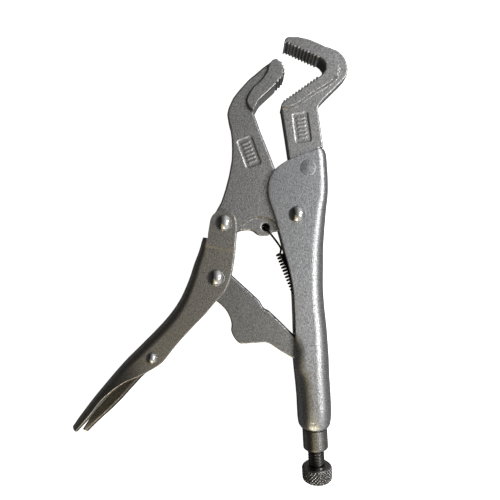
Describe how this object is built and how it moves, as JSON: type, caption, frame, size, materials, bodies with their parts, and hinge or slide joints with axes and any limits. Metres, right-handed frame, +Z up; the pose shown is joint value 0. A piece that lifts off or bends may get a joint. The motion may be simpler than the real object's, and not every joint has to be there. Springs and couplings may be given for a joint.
{
  "type": "locking pliers",
  "caption": "Locking pliers with long angled serrated jaws, sheet metal handles, over-centre toggle link, release lever, return spring and knurled adjusting screw, lying open.",
  "frame": {"origin": "centre of the open tool's footprint, on the surface it lies on", "axes": "+Y towards the jaws along the fixed handle, +X towards the fixed handle's spine, +Z up, along every pivot"},
  "size_m": [0.1576, 0.2538, 0.0218],
  "materials": {
    "satin_nickel": "blasted satin nickel plate on steel sheet",
    "forged_jaw": "blasted satin nickel plate on forged steel",
    "bright_rivet": "bright domed head",
    "dark_release": "dark satin sheet",
    "black_spring": "black spring wire",
    "oxide_screw": "dark oxide steel"
  },
  "bodies": {
    "fixed_side": {"fixed_handle": "satin_nickel", "fixed_jaw": "forged_jaw", "fixed_jaw_rivet": "satin_nickel", "main_pivot_rivet": "bright_rivet", "threaded_sleeve": "satin_nickel", "tension_spring": "black_spring"},
    "jaw_side": {"moving_jaw": "forged_jaw"},
    "lever_side": {"lever_handle": "satin_nickel", "jaw_lever_rivet": "bright_rivet", "link_rivet": "bright_rivet", "release_rivet": "bright_rivet"},
    "link_side": {"toggle_link": "forged_jaw"},
    "release_side": {"release_lever": "dark_release"},
    "screw_side": {"adjusting_screw": "oxide_screw"},
    "knob_side": {"screw_knob": "oxide_screw"}
  },
  "joints": [
    {"name": "jaw_pivot", "type": "hinge", "parent": "fixed_side", "child": "jaw_side", "pos_m": [0.0494, 0.02643, 0.0109], "axis": [0, 0, 1], "range_deg": [-13, 0], "stiffness_Nm_per_rad": 0.08, "springref_deg": 14.32, "deforming": ["tension_spring"]},
    {"name": "lever_pivot", "type": "hinge", "parent": "jaw_side", "child": "lever_side", "pos_m": [0.008, 0.02173, 0.0109], "axis": [0, 0, 1], "range_deg": [0, 43]},
    {"name": "link_pivot", "type": "hinge", "parent": "lever_side", "child": "link_side", "pos_m": [0.0035, -0.00937, 0.0109], "axis": [0, 0, 1], "range_deg": [-46, 0]},
    {"name": "release_pivot", "type": "hinge", "parent": "lever_side", "child": "release_side", "pos_m": [-0.0328, -0.05487, 0.0109], "axis": [0, 0, 1], "range_deg": [-2, 4]},
    {"name": "screw_advance", "type": "slide", "parent": "fixed_side", "child": "screw_side", "axis": [0.054, -0.9985, 0], "range_m": [0, 0.0128]},
    {"name": "screw_turn", "type": "hinge", "parent": "screw_side", "child": "knob_side", "pos_m": [0.0603, -0.09637, 0.0109], "axis": [0.054, -0.9985, 0], "range_deg": [0, 2900]}
  ],
  "couplings": [
    {"joint": "lever_pivot", "follows": "jaw_pivot", "ratio": -3.27},
    {"joint": "link_pivot", "follows": "jaw_pivot", "ratio": 3.52},
    {"joint": "screw_turn", "follows": "screw_advance", "rad_per_m": 3927}
  ]
}
